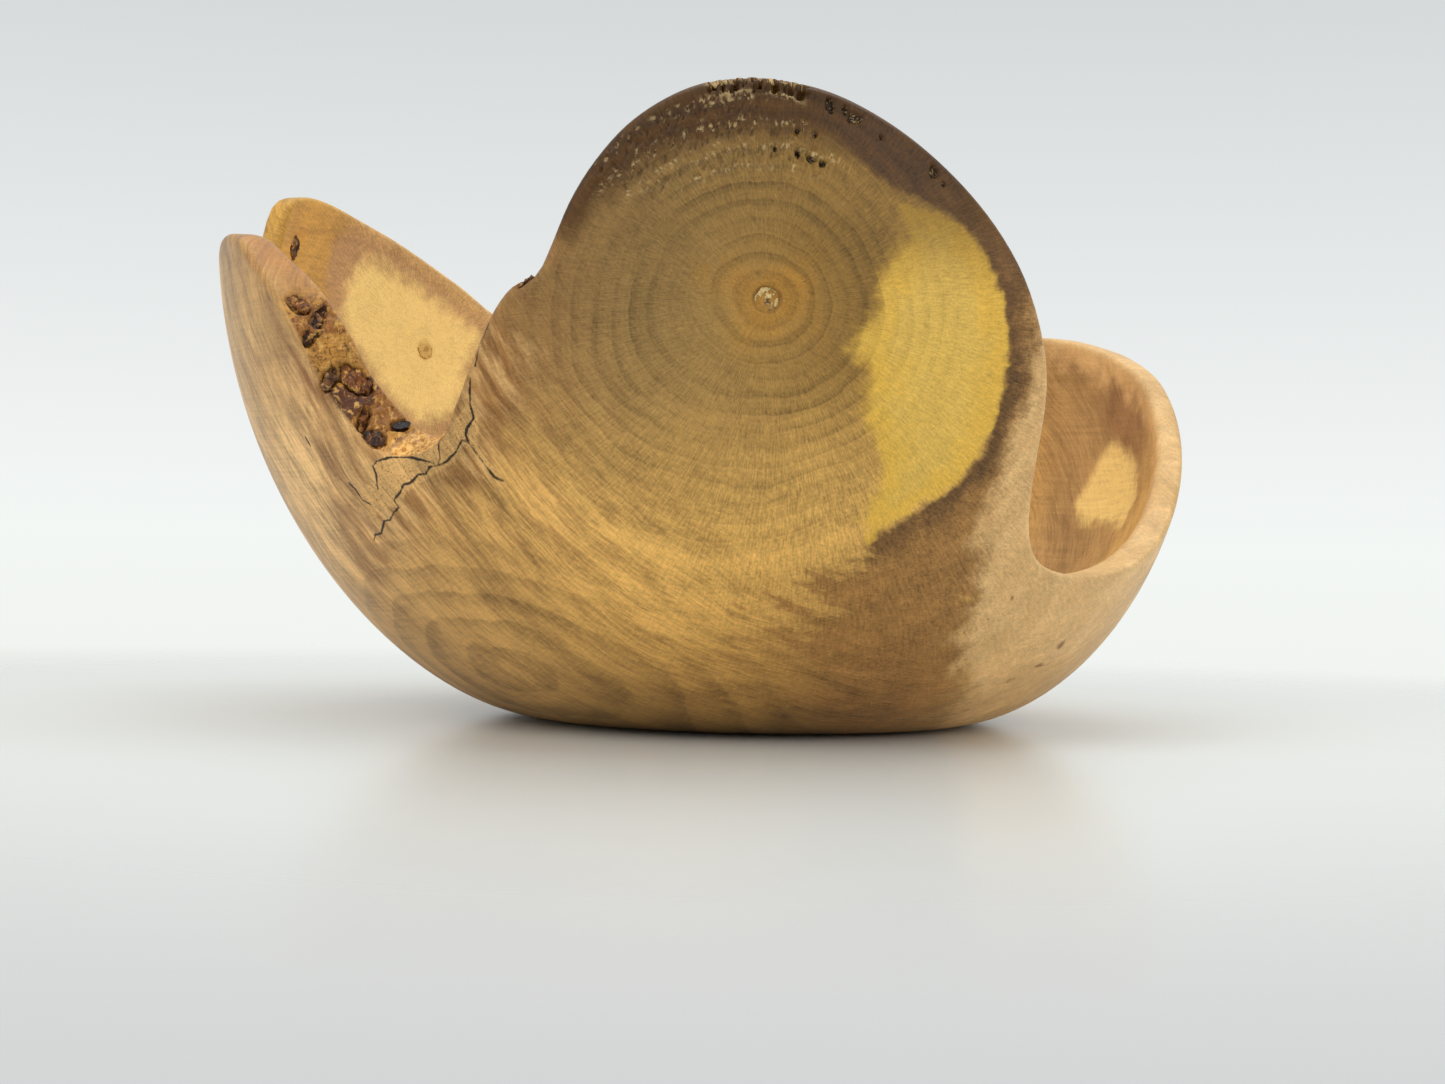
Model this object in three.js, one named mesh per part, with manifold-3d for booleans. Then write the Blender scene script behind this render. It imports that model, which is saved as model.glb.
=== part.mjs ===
// A natural-edge yarn bowl, turned from one forked block of hardwood.
// The wall is a turned shape of revolution that leaned a little as the wood dried. Its rim is not level:
// it follows the outside of the log, in four lobes with a deep yarn slot at the front left and a wide dip
// at the front right. Pieces of bark, a black knot and the log's pith are held in the wood.
// Units are millimetres, +Z is up, the origin is the centre of the foot, and -Y is the front.
import * as THREE from "three";
import { mergeVertices } from "three/addons/utils/BufferGeometryUtils.js";
import Module from "manifold-3d";

// Driving dimensions of the turned wall
const FOOT_RADIUS = 45;
const BELLY_RADIUS = 102;
const BELLY_HEIGHT = 87;
const FLOOR_THICKNESS = 10;
const WALL_THICKNESS = 5;
const LEAN_PER_HEIGHT = 0.113;
const TOP_CURVE_IN = 0.004;

// Shape exponents of the outer and inner profiles
const PROFILE_POWER = 2;
const OUTER_ROUNDNESS = 0.58;
const INNER_ROUNDNESS = 0.29;

// The wall is thicker beside the yarn slot
const THICK_SIDE = { azimuth: 226, width: 20, extra: 4.2, from: 20, to: 50 };

// The front lobe's right edge leans out over the dip beside it
const UNDERCUT = { azimuth: 306, width: 16, height: 56, rise: 20, degrees: 5 };

// The left slot keeps the log's own surface, a bevel that faces out and up
const BEVEL = { azimuth: 227, width: 13, size: 5.8 };
const SOFT_EDGE = 1.5;
const CRISP_EDGE = 0.5;

// The rim, anticlockwise from the back right, as [azimuth in degrees, height]. The front is at 270.
const RIM = [
  // back wall
  [24, 83.9], [32, 87], [40, 88], [55, 86.5], [75, 82], [97, 80], [111, 84.5],
  // back lobe
  [123, 92.5], [129, 99.2], [139, 107.2], [147, 111.2], [155, 113.8], [161, 113.8], [166, 111], [168.4, 104],
  // dip behind the left lobe
  [170.5, 94], [176, 87], [184, 88],
  // left lobe
  [191, 92.5], [198, 95.5], [204, 95.2], [208.5, 92.8], [211.6, 89.3], [217.3, 81], [220.8, 72.5], [223, 64],
  // yarn slot
  [226.4, 56.5], [229.2, 52.2], [232.2, 51], [236, 51.8], [239.2, 54.5], [242.2, 60.5], [245, 67.5],
  // shoulder and front lobe
  [248, 75.3], [250.2, 79.4], [252, 81], [253.3, 82], [254.6, 85.5], [257.2, 94.1], [259.9, 100.8],
  [263.9, 107.9], [269.9, 113.9], [276, 116], [281, 115.2], [285.2, 112.8], [290.2, 107], [295.2, 97.5],
  [298.9, 87.2], [301.8, 75.5], [303.9, 66], [305.9, 55], [307.8, 46.5], [309.7, 39.8], [312.5, 34.9],
  // right dip and right lobe
  [317, 32.6], [323, 32.3], [328.3, 33.2], [333.6, 35], [339.6, 38.1], [345, 42], [350, 47.2], [355, 54.5],
  [361, 63], [366, 69.8], [371, 75.5], [378, 80.7],
];

// Mesh resolution. Height counts for less than girth when the columns are spaced along the rim.
const COLUMNS = 140;
const HEIGHT_SHARE = 0.6;
const OUTER_ROWS = 11;
const INNER_ROWS = 10;
const FOOT_ROWS = 2;
const EDGE_ROWS = 2;
const LOW_ROWS_POWER = 1.6;
const STEPS_PER_STATION = 40;
const TANGENT_STEPS = 3;
const HELD_STATIONS = 720;

// Pieces held in the wood keep this gap to their pocket
const POCKET_GAP = 0.3;
const PITH_RADIUS = 2.3;
const PITH_LENGTH = 26;
const PITH_SIDES = 7;
const LUMP_DETAIL = 2;

const wasm = await Module();
wasm.setup();

const radians = THREE.MathUtils.degToRad;

// 1 at the centre of a feature and 0 far from it, where offset and width are in the same unit.
function bump(offset, width) {
  return Math.exp(-((offset / width) ** 2));
}

// ---- The turned wall ----

// How far a profile has opened at a height, from 0 where it starts to 1 at the belly.
function swell(z, from, roundness) {
  const share = THREE.MathUtils.clamp((z - from) / (BELLY_HEIGHT - from), 0, 1);
  return (1 - (1 - share) ** PROFILE_POWER) ** roundness;
}

function curveIn(z) {
  return TOP_CURVE_IN * Math.max(0, z - BELLY_HEIGHT) ** 2;
}

function outerRadius(z) {
  return FOOT_RADIUS + (BELLY_RADIUS - FOOT_RADIUS) * swell(z, 0, OUTER_ROUNDNESS) - curveIn(z);
}

function innerRadius(azimuth, z) {
  const { extra, width, from, to } = THICK_SIDE;
  const thicker = extra * bump(azimuth - THICK_SIDE.azimuth, width) * THREE.MathUtils.smoothstep(z, from, to);
  return (BELLY_RADIUS - WALL_THICKNESS) * swell(z, FLOOR_THICKNESS, INNER_ROUNDNESS) - curveIn(z) - thicker;
}

// The point at an azimuth, a height and a radius. The wall's centre moves towards -X with height.
function wallPoint(azimuth, z, radius) {
  const rise = Math.tanh((z - UNDERCUT.height) / UNDERCUT.rise);
  const turn = UNDERCUT.degrees * bump(azimuth - UNDERCUT.azimuth, UNDERCUT.width) * rise;
  const angle = radians(azimuth + turn);
  return new THREE.Vector3(radius * Math.cos(angle) - LEAN_PER_HEIGHT * z, radius * Math.sin(angle), z);
}

// ---- The rim ----

// The rim as a curve in the unrolled wall: x is the distance round the belly, y is the scaled height.
const GIRTH_PER_DEGREE = radians(BELLY_RADIUS);
const LAP = 360 * GIRTH_PER_DEGREE;

function rimCurve() {
  const lap = RIM.map(([azimuth, z]) => new THREE.Vector3(azimuth * GIRTH_PER_DEGREE, z * HEIGHT_SHARE, 0));
  const shifted = (points, by) => points.map((p) => new THREE.Vector3(p.x + by, p.y, 0));
  const points = [...shifted(lap.slice(-3), -LAP), ...lap, ...shifted(lap.slice(0, 3), LAP)];
  return new THREE.CatmullRomCurve3(points, false, "centripetal");
}

// One lap of rim stations, evenly spaced along the curve, each with the direction out of the wood.
function rimStations(count) {
  const start = RIM[0][0] * GIRTH_PER_DEGREE;
  const fine = rimCurve().getSpacedPoints(STEPS_PER_STATION * count);
  const lap = fine.filter((p) => p.x >= start && p.x < start + LAP);
  return Array.from({ length: count }, (_, i) => {
    const at = Math.round((i * lap.length) / count);
    const before = lap[Math.max(at - TANGENT_STEPS, 0)];
    const after = lap[Math.min(at + TANGENT_STEPS, lap.length - 1)];
    const along = new THREE.Vector2(after.x - before.x, (after.y - before.y) / HEIGHT_SHARE).normalize();
    const out = new THREE.Vector2(-along.y, along.x);
    return { azimuth: lap[at].x / GIRTH_PER_DEGREE, z: lap[at].y / HEIGHT_SHARE, out };
  });
}

// A point of the rim's own face, from across = 0 at the outer wall to 1 at the inner wall, sunk below the face.
function rimPoint(station, across, sunk) {
  const bevel = BEVEL.size * bump(station.azimuth - BEVEL.azimuth, BEVEL.width) * across;
  const azimuth = station.azimuth + (station.out.x * (bevel - sunk)) / GIRTH_PER_DEGREE;
  const z = station.z + station.out.y * (bevel - sunk);
  const radius = THREE.MathUtils.lerp(outerRadius(z), innerRadius(azimuth, z), across);
  return { azimuth, z, radius };
}

// ---- The bowl ----

// One station's section through the wood, from the foot's centre up the outside, over the rim and down inside.
function sectionAt(station) {
  const points = [];
  const add = (azimuth, z, radius) => points.push(wallPoint(azimuth, z, radius));
  for (let i = 0; i < FOOT_ROWS; i++) add(station.azimuth, 0, (FOOT_RADIUS * i) / FOOT_ROWS);

  const nearSlot = bump(station.azimuth - BEVEL.azimuth, BEVEL.width);
  const edge = THREE.MathUtils.lerp(SOFT_EDGE, CRISP_EDGE, nearSlot);
  const outerTop = rimPoint(station, 0, edge);
  for (let i = 0; i < OUTER_ROWS; i++) {
    const share = (i / OUTER_ROWS) ** LOW_ROWS_POWER;
    const z = outerTop.z * share;
    add(THREE.MathUtils.lerp(station.azimuth, outerTop.azimuth, share), z, outerRadius(z));
  }

  const thickness = outerRadius(station.z) - innerRadius(station.azimuth, station.z);
  const edgeShare = edge / thickness;
  for (let i = 0; i <= EDGE_ROWS; i++) {
    const angle = (0.5 * Math.PI * i) / EDGE_ROWS;
    const top = rimPoint(station, edgeShare * (1 - Math.cos(angle)), edge * (1 - Math.sin(angle)));
    add(top.azimuth, top.z, top.radius);
  }
  for (let i = EDGE_ROWS; i >= 0; i--) {
    const angle = (0.5 * Math.PI * i) / EDGE_ROWS;
    const top = rimPoint(station, 1 - edgeShare * (1 - Math.cos(angle)), edge * (1 - Math.sin(angle)));
    add(top.azimuth, top.z, top.radius);
  }

  const innerTop = rimPoint(station, 1, edge);
  for (let i = INNER_ROWS - 1; i >= 1; i--) {
    const share = (i / INNER_ROWS) ** LOW_ROWS_POWER;
    const azimuth = THREE.MathUtils.lerp(station.azimuth, innerTop.azimuth, share);
    const z = THREE.MathUtils.lerp(FLOOR_THICKNESS, innerTop.z, share);
    add(azimuth, z, innerRadius(azimuth, z));
  }
  add(station.azimuth, FLOOR_THICKNESS, 0);
  return points;
}

// A lathe shape whose rows are moved to each station's own section.
function bowlGeometry() {
  const stations = rimStations(COLUMNS);
  const sections = stations.map(sectionAt);
  const rows = sections[0].length;
  const profile = Array.from({ length: rows }, (_, i) => {
    const onAxis = i === 0 || i === rows - 1;
    return new THREE.Vector2(onAxis ? 0 : 1, i);
  });
  const geometry = new THREE.LatheGeometry(profile, COLUMNS);
  const position = geometry.getAttribute("position");
  for (let column = 0; column <= COLUMNS; column++) {
    const section = sections[column % COLUMNS];
    section.forEach((p, row) => position.setXYZ(column * rows + row, p.x, p.y, p.z));
  }
  return geometry;
}

// ---- Solids ----

// A closed three.js geometry as a manifold-3d solid.
function solidOf(geometry) {
  const bare = new THREE.BufferGeometry();
  bare.setAttribute("position", geometry.getAttribute("position"));
  bare.setIndex(geometry.getIndex());
  const merged = mergeVertices(bare, 1e-3);
  const mesh = new wasm.Mesh({
    numProp: 3,
    vertProperties: merged.getAttribute("position").array,
    triVerts: new Uint32Array(merged.getIndex().array),
  });
  return new wasm.Manifold(mesh);
}

function geometryOf(solid) {
  const mesh = solid.getMesh();
  const geometry = new THREE.BufferGeometry();
  geometry.setAttribute("position", new THREE.BufferAttribute(mesh.vertProperties, 3));
  geometry.setIndex(new THREE.BufferAttribute(mesh.triVerts, 1));
  geometry.computeVertexNormals();
  return geometry;
}

// ---- Pieces held in the wood ----

const STATIONS = rimStations(HELD_STATIONS);

function stationAt(azimuth) {
  return STATIONS.reduce((best, s) => {
    return Math.abs(s.azimuth - azimuth) < Math.abs(best.azimuth - azimuth) ? s : best;
  });
}

// Half of the azimuth step, in degrees, that the rim's direction is measured over
const HALF_STEP = 0.8;

// A frame on the rim's face: X along the rim, Y across the wall from outside to inside, Z out of the face.
function rimFrame(azimuth, across) {
  const station = stationAt(azimuth);
  const at = (shift, share) => {
    const moved = stationAt(azimuth + shift);
    const p = rimPoint(moved, share, 0);
    return wallPoint(p.azimuth, p.z, p.radius);
  };
  const centre = rimPoint(station, across, 0);
  const position = wallPoint(centre.azimuth, centre.z, centre.radius);
  const x = at(HALF_STEP, across).sub(at(-HALF_STEP, across)).normalize();
  const y = at(0, 1).sub(at(0, 0));
  y.addScaledVector(x, -y.dot(x)).normalize();
  const z = x.clone().cross(y);
  return new THREE.Matrix4().makeBasis(x, y, z).setPosition(position);
}

// A frame on the wall: X level along the wall, Y up, Z out of the wood, at a share of the thickness inwards.
function wallFrame(azimuth, z, inwards) {
  const radius = THREE.MathUtils.lerp(outerRadius(z), innerRadius(azimuth, z), inwards);
  const position = wallPoint(azimuth, z, radius);
  const outward = new THREE.Vector3(Math.cos(radians(azimuth)), Math.sin(radians(azimuth)), 0);
  const up = new THREE.Vector3(0, 0, 1);
  const level = up.clone().cross(outward);
  return new THREE.Matrix4().makeBasis(level, up, outward).setPosition(position);
}

// A rounded lump with half-axes in millimetres, turned about its own Z axis by twist degrees.
function lumpGeometry([x, y, z], twist, grow) {
  const geometry = new THREE.IcosahedronGeometry(1, LUMP_DETAIL);
  geometry.scale(x + grow, y + grow, z + grow);
  geometry.rotateZ(radians(twist));
  return geometry;
}

// The pith, an angular core along its own Z axis, long enough to pass through the wall.
function pithGeometry(grow) {
  const radius = PITH_RADIUS + grow;
  const geometry = new THREE.CylinderGeometry(radius, radius, PITH_LENGTH + 2 * grow, PITH_SIDES);
  geometry.rotateX(Math.PI / 2);
  return geometry;
}

// Each held piece: its frame, and its shape with a growth for the pocket.
const HELD_PIECES = [
  {
    name: "front_pith_core",
    material: "pith",
    frame: wallFrame(275.3, 78, 0.5),
    shape: pithGeometry,
  },
  {
    name: "back_pith_core",
    material: "pith",
    frame: wallFrame(136.6, 82.5, 0.5),
    shape: pithGeometry,
  },
  {
    name: "upper_bark_fleck",
    material: "bark",
    frame: rimFrame(218.3, 0.36),
    shape: (grow) => lumpGeometry([2.9, 1.5, 1.3], 12, grow),
  },
  {
    name: "deep_bark_pocket",
    material: "bark",
    frame: rimFrame(220.1, 0.46),
    shape: (grow) => lumpGeometry([5.2, 1.5, 2.2], -45, grow),
  },
  {
    name: "outer_bark_chip",
    material: "bark",
    frame: rimFrame(222.7, 0.22),
    shape: (grow) => lumpGeometry([2.8, 1.2, 1.6], -50, grow),
  },
  {
    name: "middle_bark_plate",
    material: "bark",
    frame: rimFrame(223.2, 0.64),
    shape: (grow) => lumpGeometry([3.9, 2.1, 1.4], 15, grow),
  },
  {
    name: "lower_bark_sliver",
    material: "bark",
    frame: rimFrame(226.1, 0.28),
    shape: (grow) => lumpGeometry([2.7, 0.9, 1.2], -50, grow),
  },
  {
    name: "lower_bark_lump",
    material: "bark",
    frame: rimFrame(228.2, 0.18),
    shape: (grow) => lumpGeometry([2.2, 1.7, 1.3], 0, grow),
  },
  {
    name: "black_knot",
    material: "knot",
    frame: rimFrame(228.2, 0.8),
    shape: (grow) => lumpGeometry([1.9, 0.9, 2.0], 71, grow),
  },
  {
    name: "shoulder_bark_chip",
    material: "bark",
    frame: rimFrame(251.6, 0.3),
    shape: (grow) => lumpGeometry([2.4, 1.6, 1.2], 10, grow),
  },
  {
    name: "back_lobe_bark",
    material: "bark",
    frame: wallFrame(164.2, 101.5, 0.96),
    shape: (grow) => lumpGeometry([1.8, 3.2, 1.3], 15, grow),
  },
];

const MATERIALS = {
  wood: new THREE.MeshStandardMaterial({ color: 0xb98a50, roughness: 0.45, metalness: 0 }),
  bark: new THREE.MeshStandardMaterial({ color: 0x4a2c18, roughness: 0.8, metalness: 0 }),
  knot: new THREE.MeshStandardMaterial({ color: 0x1d1a1c, roughness: 0.6, metalness: 0 }),
  pith: new THREE.MeshStandardMaterial({ color: 0xd8c79a, roughness: 0.7, metalness: 0 }),
};

// ---- Assembly ----

const yarnBowl = new THREE.Group();

function addMesh(name, geometry, material, frame = new THREE.Matrix4()) {
  const mesh = new THREE.Mesh(geometry, MATERIALS[material]);
  mesh.name = name;
  mesh.applyMatrix4(frame);
  yarnBowl.add(mesh);
}

// A held piece is the part of its shape that lies in the wood, so it is flush with the wood's surface.
let bowl = solidOf(bowlGeometry());
for (const { name, material, frame, shape } of HELD_PIECES) {
  const piece = solidOf(shape(0).applyMatrix4(frame)).intersect(bowl);
  const pocket = solidOf(shape(POCKET_GAP).applyMatrix4(frame));
  bowl = bowl.subtract(pocket);
  addMesh(name, geometryOf(piece).applyMatrix4(frame.clone().invert()), material, frame);
}
addMesh("bowl_body", geometryOf(bowl), "wood");

export default yarnBowl;
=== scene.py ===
"""A natural-edge yarn bowl turned from one forked block of maple, with soft studio light.

Shapes are worked out in millimetres in the part's own frame: +Z is up, the origin is the centre of
the foot, and -Y is the front. A place on the wall is an azimuth in degrees, with the front at 270,
and a height.
"""

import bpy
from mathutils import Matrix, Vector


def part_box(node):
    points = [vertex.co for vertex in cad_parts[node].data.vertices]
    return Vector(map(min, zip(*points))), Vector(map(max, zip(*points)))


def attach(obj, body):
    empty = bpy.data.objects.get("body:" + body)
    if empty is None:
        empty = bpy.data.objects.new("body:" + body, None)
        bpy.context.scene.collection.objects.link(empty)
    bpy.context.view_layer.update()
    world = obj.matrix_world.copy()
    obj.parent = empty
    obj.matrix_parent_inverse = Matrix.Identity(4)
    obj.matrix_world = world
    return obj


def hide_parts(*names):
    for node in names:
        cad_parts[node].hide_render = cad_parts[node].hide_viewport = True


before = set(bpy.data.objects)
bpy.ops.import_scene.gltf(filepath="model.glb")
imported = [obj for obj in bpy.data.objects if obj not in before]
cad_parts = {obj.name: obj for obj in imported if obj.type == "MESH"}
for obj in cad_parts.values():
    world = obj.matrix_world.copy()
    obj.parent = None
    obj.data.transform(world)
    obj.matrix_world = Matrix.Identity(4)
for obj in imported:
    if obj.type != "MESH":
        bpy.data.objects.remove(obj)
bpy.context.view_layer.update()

import math

import bmesh
import bpy
import numpy as np
from mathutils import Matrix, Vector, noise
from mathutils.bvhtree import BVHTree

MM = 0.001

# ---- The turned wall, with the part's own dimensions ----

FOOT_RADIUS = 45
BELLY_RADIUS = 102
BELLY_HEIGHT = 87
FLOOR_THICKNESS = 10
WALL_THICKNESS = 5
LEAN_PER_HEIGHT = 0.113
TOP_CURVE_IN = 0.004
OUTER_ROUNDNESS = 0.58
INNER_ROUNDNESS = 0.29
THICK_SIDE = {"azimuth": 226, "width": 20, "extra": 4.2, "start": 20, "end": 50}
UNDERCUT = {"azimuth": 306, "width": 16, "height": 56, "rise": 20, "degrees": 5}
BEVEL = {"azimuth": 227, "width": 13, "size": 5.8}
SOFT_EDGE = 1.5
CRISP_EDGE = 0.5
HEIGHT_SHARE = 0.6
GIRTH_PER_DEGREE = math.radians(BELLY_RADIUS)
LAP = 360 * GIRTH_PER_DEGREE

# The rim, anticlockwise from the back right, as (azimuth, height)
RIM = [
    # back wall
    (24, 83.9), (32, 87), (40, 88), (55, 86.5), (75, 82), (97, 80), (111, 84.5),
    # back lobe
    (123, 92.5), (129, 99.2), (139, 107.2), (147, 111.2), (155, 113.8), (161, 113.8), (166, 111),
    (168.4, 104),
    # dip behind the left lobe
    (170.5, 94), (176, 87), (184, 88),
    # left lobe
    (191, 92.5), (198, 95.5), (204, 95.2), (208.5, 92.8), (211.6, 89.3), (217.3, 81), (220.8, 72.5),
    (223, 64),
    # yarn slot
    (226.4, 56.5), (229.2, 52.2), (232.2, 51), (236, 51.8), (239.2, 54.5), (242.2, 60.5), (245, 67.5),
    # shoulder and front lobe
    (248, 75.3), (250.2, 79.4), (252, 81), (253.3, 82), (254.6, 85.5), (257.2, 94.1), (259.9, 100.8),
    (263.9, 107.9), (269.9, 113.9), (276, 116), (281, 115.2), (285.2, 112.8), (290.2, 107),
    (295.2, 97.5), (298.9, 87.2), (301.8, 75.5), (303.9, 66), (305.9, 55), (307.8, 46.5), (309.7, 39.8),
    (312.5, 34.9),
    # right dip and right lobe
    (317, 32.6), (323, 32.3), (328.3, 33.2), (333.6, 35), (339.6, 38.1), (345, 42), (350, 47.2),
    (355, 54.5), (361, 63), (366, 69.8), (371, 75.5), (378, 80.7),
]

# Mesh resolution, with more columns round the yarn slot and the front lobe
COLUMNS = 330
CROWDED = [(281, 18, 1.5), (232, 20, 1.7)]
FOOT_ROWS = 4
OUTER_ROWS = 70
EDGE_ROWS = 4
FACE_ROWS = 6
INNER_ROWS = 58
ROWS_POWER = 1.2
STEPS_PER_POINT = 160
TURN_ROUNDS = 12


def bump(offset, width):
    """1 at the centre of a feature and 0 far from it."""
    return np.exp(-((offset / width) ** 2))


def smoothstep(value, low, high):
    share = np.clip((value - low) / (high - low), 0, 1)
    return share * share * (3 - 2 * share)


def swell(z, start, roundness):
    """How far a profile has opened at a height, from 0 where it starts to 1 at the belly."""
    share = np.clip((z - start) / (BELLY_HEIGHT - start), 0, 1)
    return (1 - (1 - share) ** 2) ** roundness


def curve_in(z):
    return TOP_CURVE_IN * np.maximum(0, z - BELLY_HEIGHT) ** 2


def outer_radius(z):
    return FOOT_RADIUS + (BELLY_RADIUS - FOOT_RADIUS) * swell(z, 0, OUTER_ROUNDNESS) - curve_in(z)


def inner_radius(azimuth, z):
    near = bump(azimuth - THICK_SIDE["azimuth"], THICK_SIDE["width"])
    thicker = THICK_SIDE["extra"] * near * smoothstep(z, THICK_SIDE["start"], THICK_SIDE["end"])
    opened = (BELLY_RADIUS - WALL_THICKNESS) * swell(z, FLOOR_THICKNESS, INNER_ROUNDNESS)
    return opened - curve_in(z) - thicker


def turn_at(azimuth, z):
    """How many degrees the undercut turns a place on the wall."""
    rise = np.tanh((z - UNDERCUT["height"]) / UNDERCUT["rise"])
    return UNDERCUT["degrees"] * bump(azimuth - UNDERCUT["azimuth"], UNDERCUT["width"]) * rise


def wall_point(azimuth, z, radius):
    angle = np.radians(azimuth + turn_at(azimuth, z))
    x = radius * np.cos(angle) - LEAN_PER_HEIGHT * z
    return np.stack(np.broadcast_arrays(x, radius * np.sin(angle), z), axis=-1)


def outside_point(azimuth, z):
    return wall_point(azimuth, z, outer_radius(z))


def azimuth_of(points):
    """The azimuth of points on the wall, from the rim's first azimuth to one lap later."""
    z = points[:, 2]
    angle = np.degrees(np.arctan2(points[:, 1], points[:, 0] + LEAN_PER_HEIGHT * z))
    start = RIM[0][0]
    angle = (angle - start) % 360 + start
    azimuth = angle.copy()
    for _ in range(TURN_ROUNDS):
        azimuth = angle - turn_at(azimuth, z)
    return azimuth


def smooth_curve(points, steps):
    """A centripetal Catmull-Rom curve through the points, except for the first and the last."""
    pieces = []
    share = np.linspace(0, 1, steps, endpoint=False)[:, None]
    for a, b, c, d in zip(points, points[1:], points[2:], points[3:]):
        ab, bc, cd = (np.linalg.norm(q - p) ** 0.5 for p, q in ((a, b), (b, c), (c, d)))
        leave = c - b + bc * ((b - a) / ab - (c - a) / (ab + bc))
        arrive = c - b + bc * ((d - c) / cd - (d - b) / (bc + cd))
        cubed, squared = share**3, share**2
        pieces.append(
            (2 * cubed - 3 * squared + 1) * b
            + (cubed - 2 * squared + share) * leave
            + (3 * squared - 2 * cubed) * c
            + (cubed - squared) * arrive
        )
    return np.concatenate(pieces)


def rim_stations(count):
    """Places along the rim: azimuth, height, and the direction out of the wood in the unrolled wall."""
    lap = np.array([(a * GIRTH_PER_DEGREE, z * HEIGHT_SHARE) for a, z in RIM])
    shift = np.array([LAP, 0])
    curve = smooth_curve(np.concatenate([lap[-1:] - shift, lap, lap[:2] + shift]), STEPS_PER_POINT)
    azimuth = curve[:, 0] / GIRTH_PER_DEGREE
    crowd = 1 + sum(extra * bump(azimuth - centre, width) for centre, width, extra in CROWDED)
    step = np.linalg.norm(np.concatenate([curve[1:], curve[:1] + shift]) - curve, axis=1)
    travelled = np.concatenate([[0], np.cumsum(step * crowd)])
    at = np.linspace(0, travelled[-1], count, endpoint=False)
    real = curve / (1, HEIGHT_SHARE)
    ahead = np.concatenate([real[3:], real[:3] + shift])
    behind = np.concatenate([real[-3:] - shift, real[:-3]])
    along = (ahead - behind) / np.linalg.norm(ahead - behind, axis=1)[:, None]

    def pick(values):
        return np.interp(at, travelled[:-1], values)

    along = np.stack([pick(along[:, 0]), pick(along[:, 1])])
    along /= np.linalg.norm(along, axis=0)
    return pick(azimuth), pick(real[:, 1]), (-along[1], along[0])


def bowl_rows():
    """Rows of points from the foot up the outside, over the rim and down inside, as (points, across)."""
    station, height, out = rim_stations(COLUMNS)
    near_slot = bump(station - BEVEL["azimuth"], BEVEL["width"])
    edge = SOFT_EDGE + (CRISP_EDGE - SOFT_EDGE) * near_slot

    def rim_point(across, sunk):
        bevel = BEVEL["size"] * near_slot * across
        azimuth = station + out[0] * (bevel - sunk) / GIRTH_PER_DEGREE
        z = height + out[1] * (bevel - sunk)
        return azimuth, z, outer_radius(z) * (1 - across) + inner_radius(azimuth, z) * across

    rows = []
    flat = np.zeros(COLUMNS)
    for i in range(1, FOOT_ROWS):
        rows.append((wall_point(station, flat, flat + FOOT_RADIUS * i / FOOT_ROWS), flat))
    top_azimuth, top_z, _ = rim_point(0, edge)
    for i in range(OUTER_ROWS):
        share = (i / OUTER_ROWS) ** ROWS_POWER
        z = top_z * share
        rows.append((outside_point(station + (top_azimuth - station) * share, z), flat))
    edge_share = edge / (outer_radius(height) - inner_radius(station, height))
    quarter = [0.5 * math.pi * i / EDGE_ROWS for i in range(EDGE_ROWS + 1)]
    for angle in quarter:
        across = edge_share * (1 - math.cos(angle))
        rows.append((wall_point(*rim_point(across, edge * (1 - math.sin(angle)))), across))
    for i in range(1, FACE_ROWS):
        across = edge_share + (1 - 2 * edge_share) * i / FACE_ROWS
        rows.append((wall_point(*rim_point(across, 0)), across))
    for angle in reversed(quarter):
        across = 1 - edge_share * (1 - math.cos(angle))
        rows.append((wall_point(*rim_point(across, edge * (1 - math.sin(angle)))), across))
    top_azimuth, top_z, _ = rim_point(1, edge)
    for i in range(INNER_ROWS - 1, 0, -1):
        share = (i / INNER_ROWS) ** ROWS_POWER
        azimuth = station + (top_azimuth - station) * share
        z = FLOOR_THICKNESS + (top_z - FLOOR_THICKNESS) * share
        rows.append((wall_point(azimuth, z, inner_radius(azimuth, z)), flat + 1))
    return rows, station, height


def new_object(name, mesh):
    piece = bpy.data.objects.new(name, mesh)
    bpy.context.scene.collection.objects.link(piece)
    return piece


def put_values(mesh, name, values, kind="FLOAT"):
    """Stores one value for each vertex, for the material to read."""
    field = {"FLOAT": "value", "FLOAT_VECTOR": "vector", "FLOAT_COLOR": "color"}[kind]
    layer = mesh.attributes.get(name) or mesh.attributes.new(name, kind, "POINT")
    layer.data.foreach_set(field, np.ascontiguousarray(values, np.float32).ravel())


def numbers_of(items, field, size):
    """One row of numbers for each item of a mesh."""
    flat = np.empty(len(items) * size, np.float32)
    items.foreach_get(field, flat)
    return flat.reshape(-1, size).astype(float)


# The rim height given to the centres of the foot and the floor, which lie under no one part of it
CENTRE_RIM = 60


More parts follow.
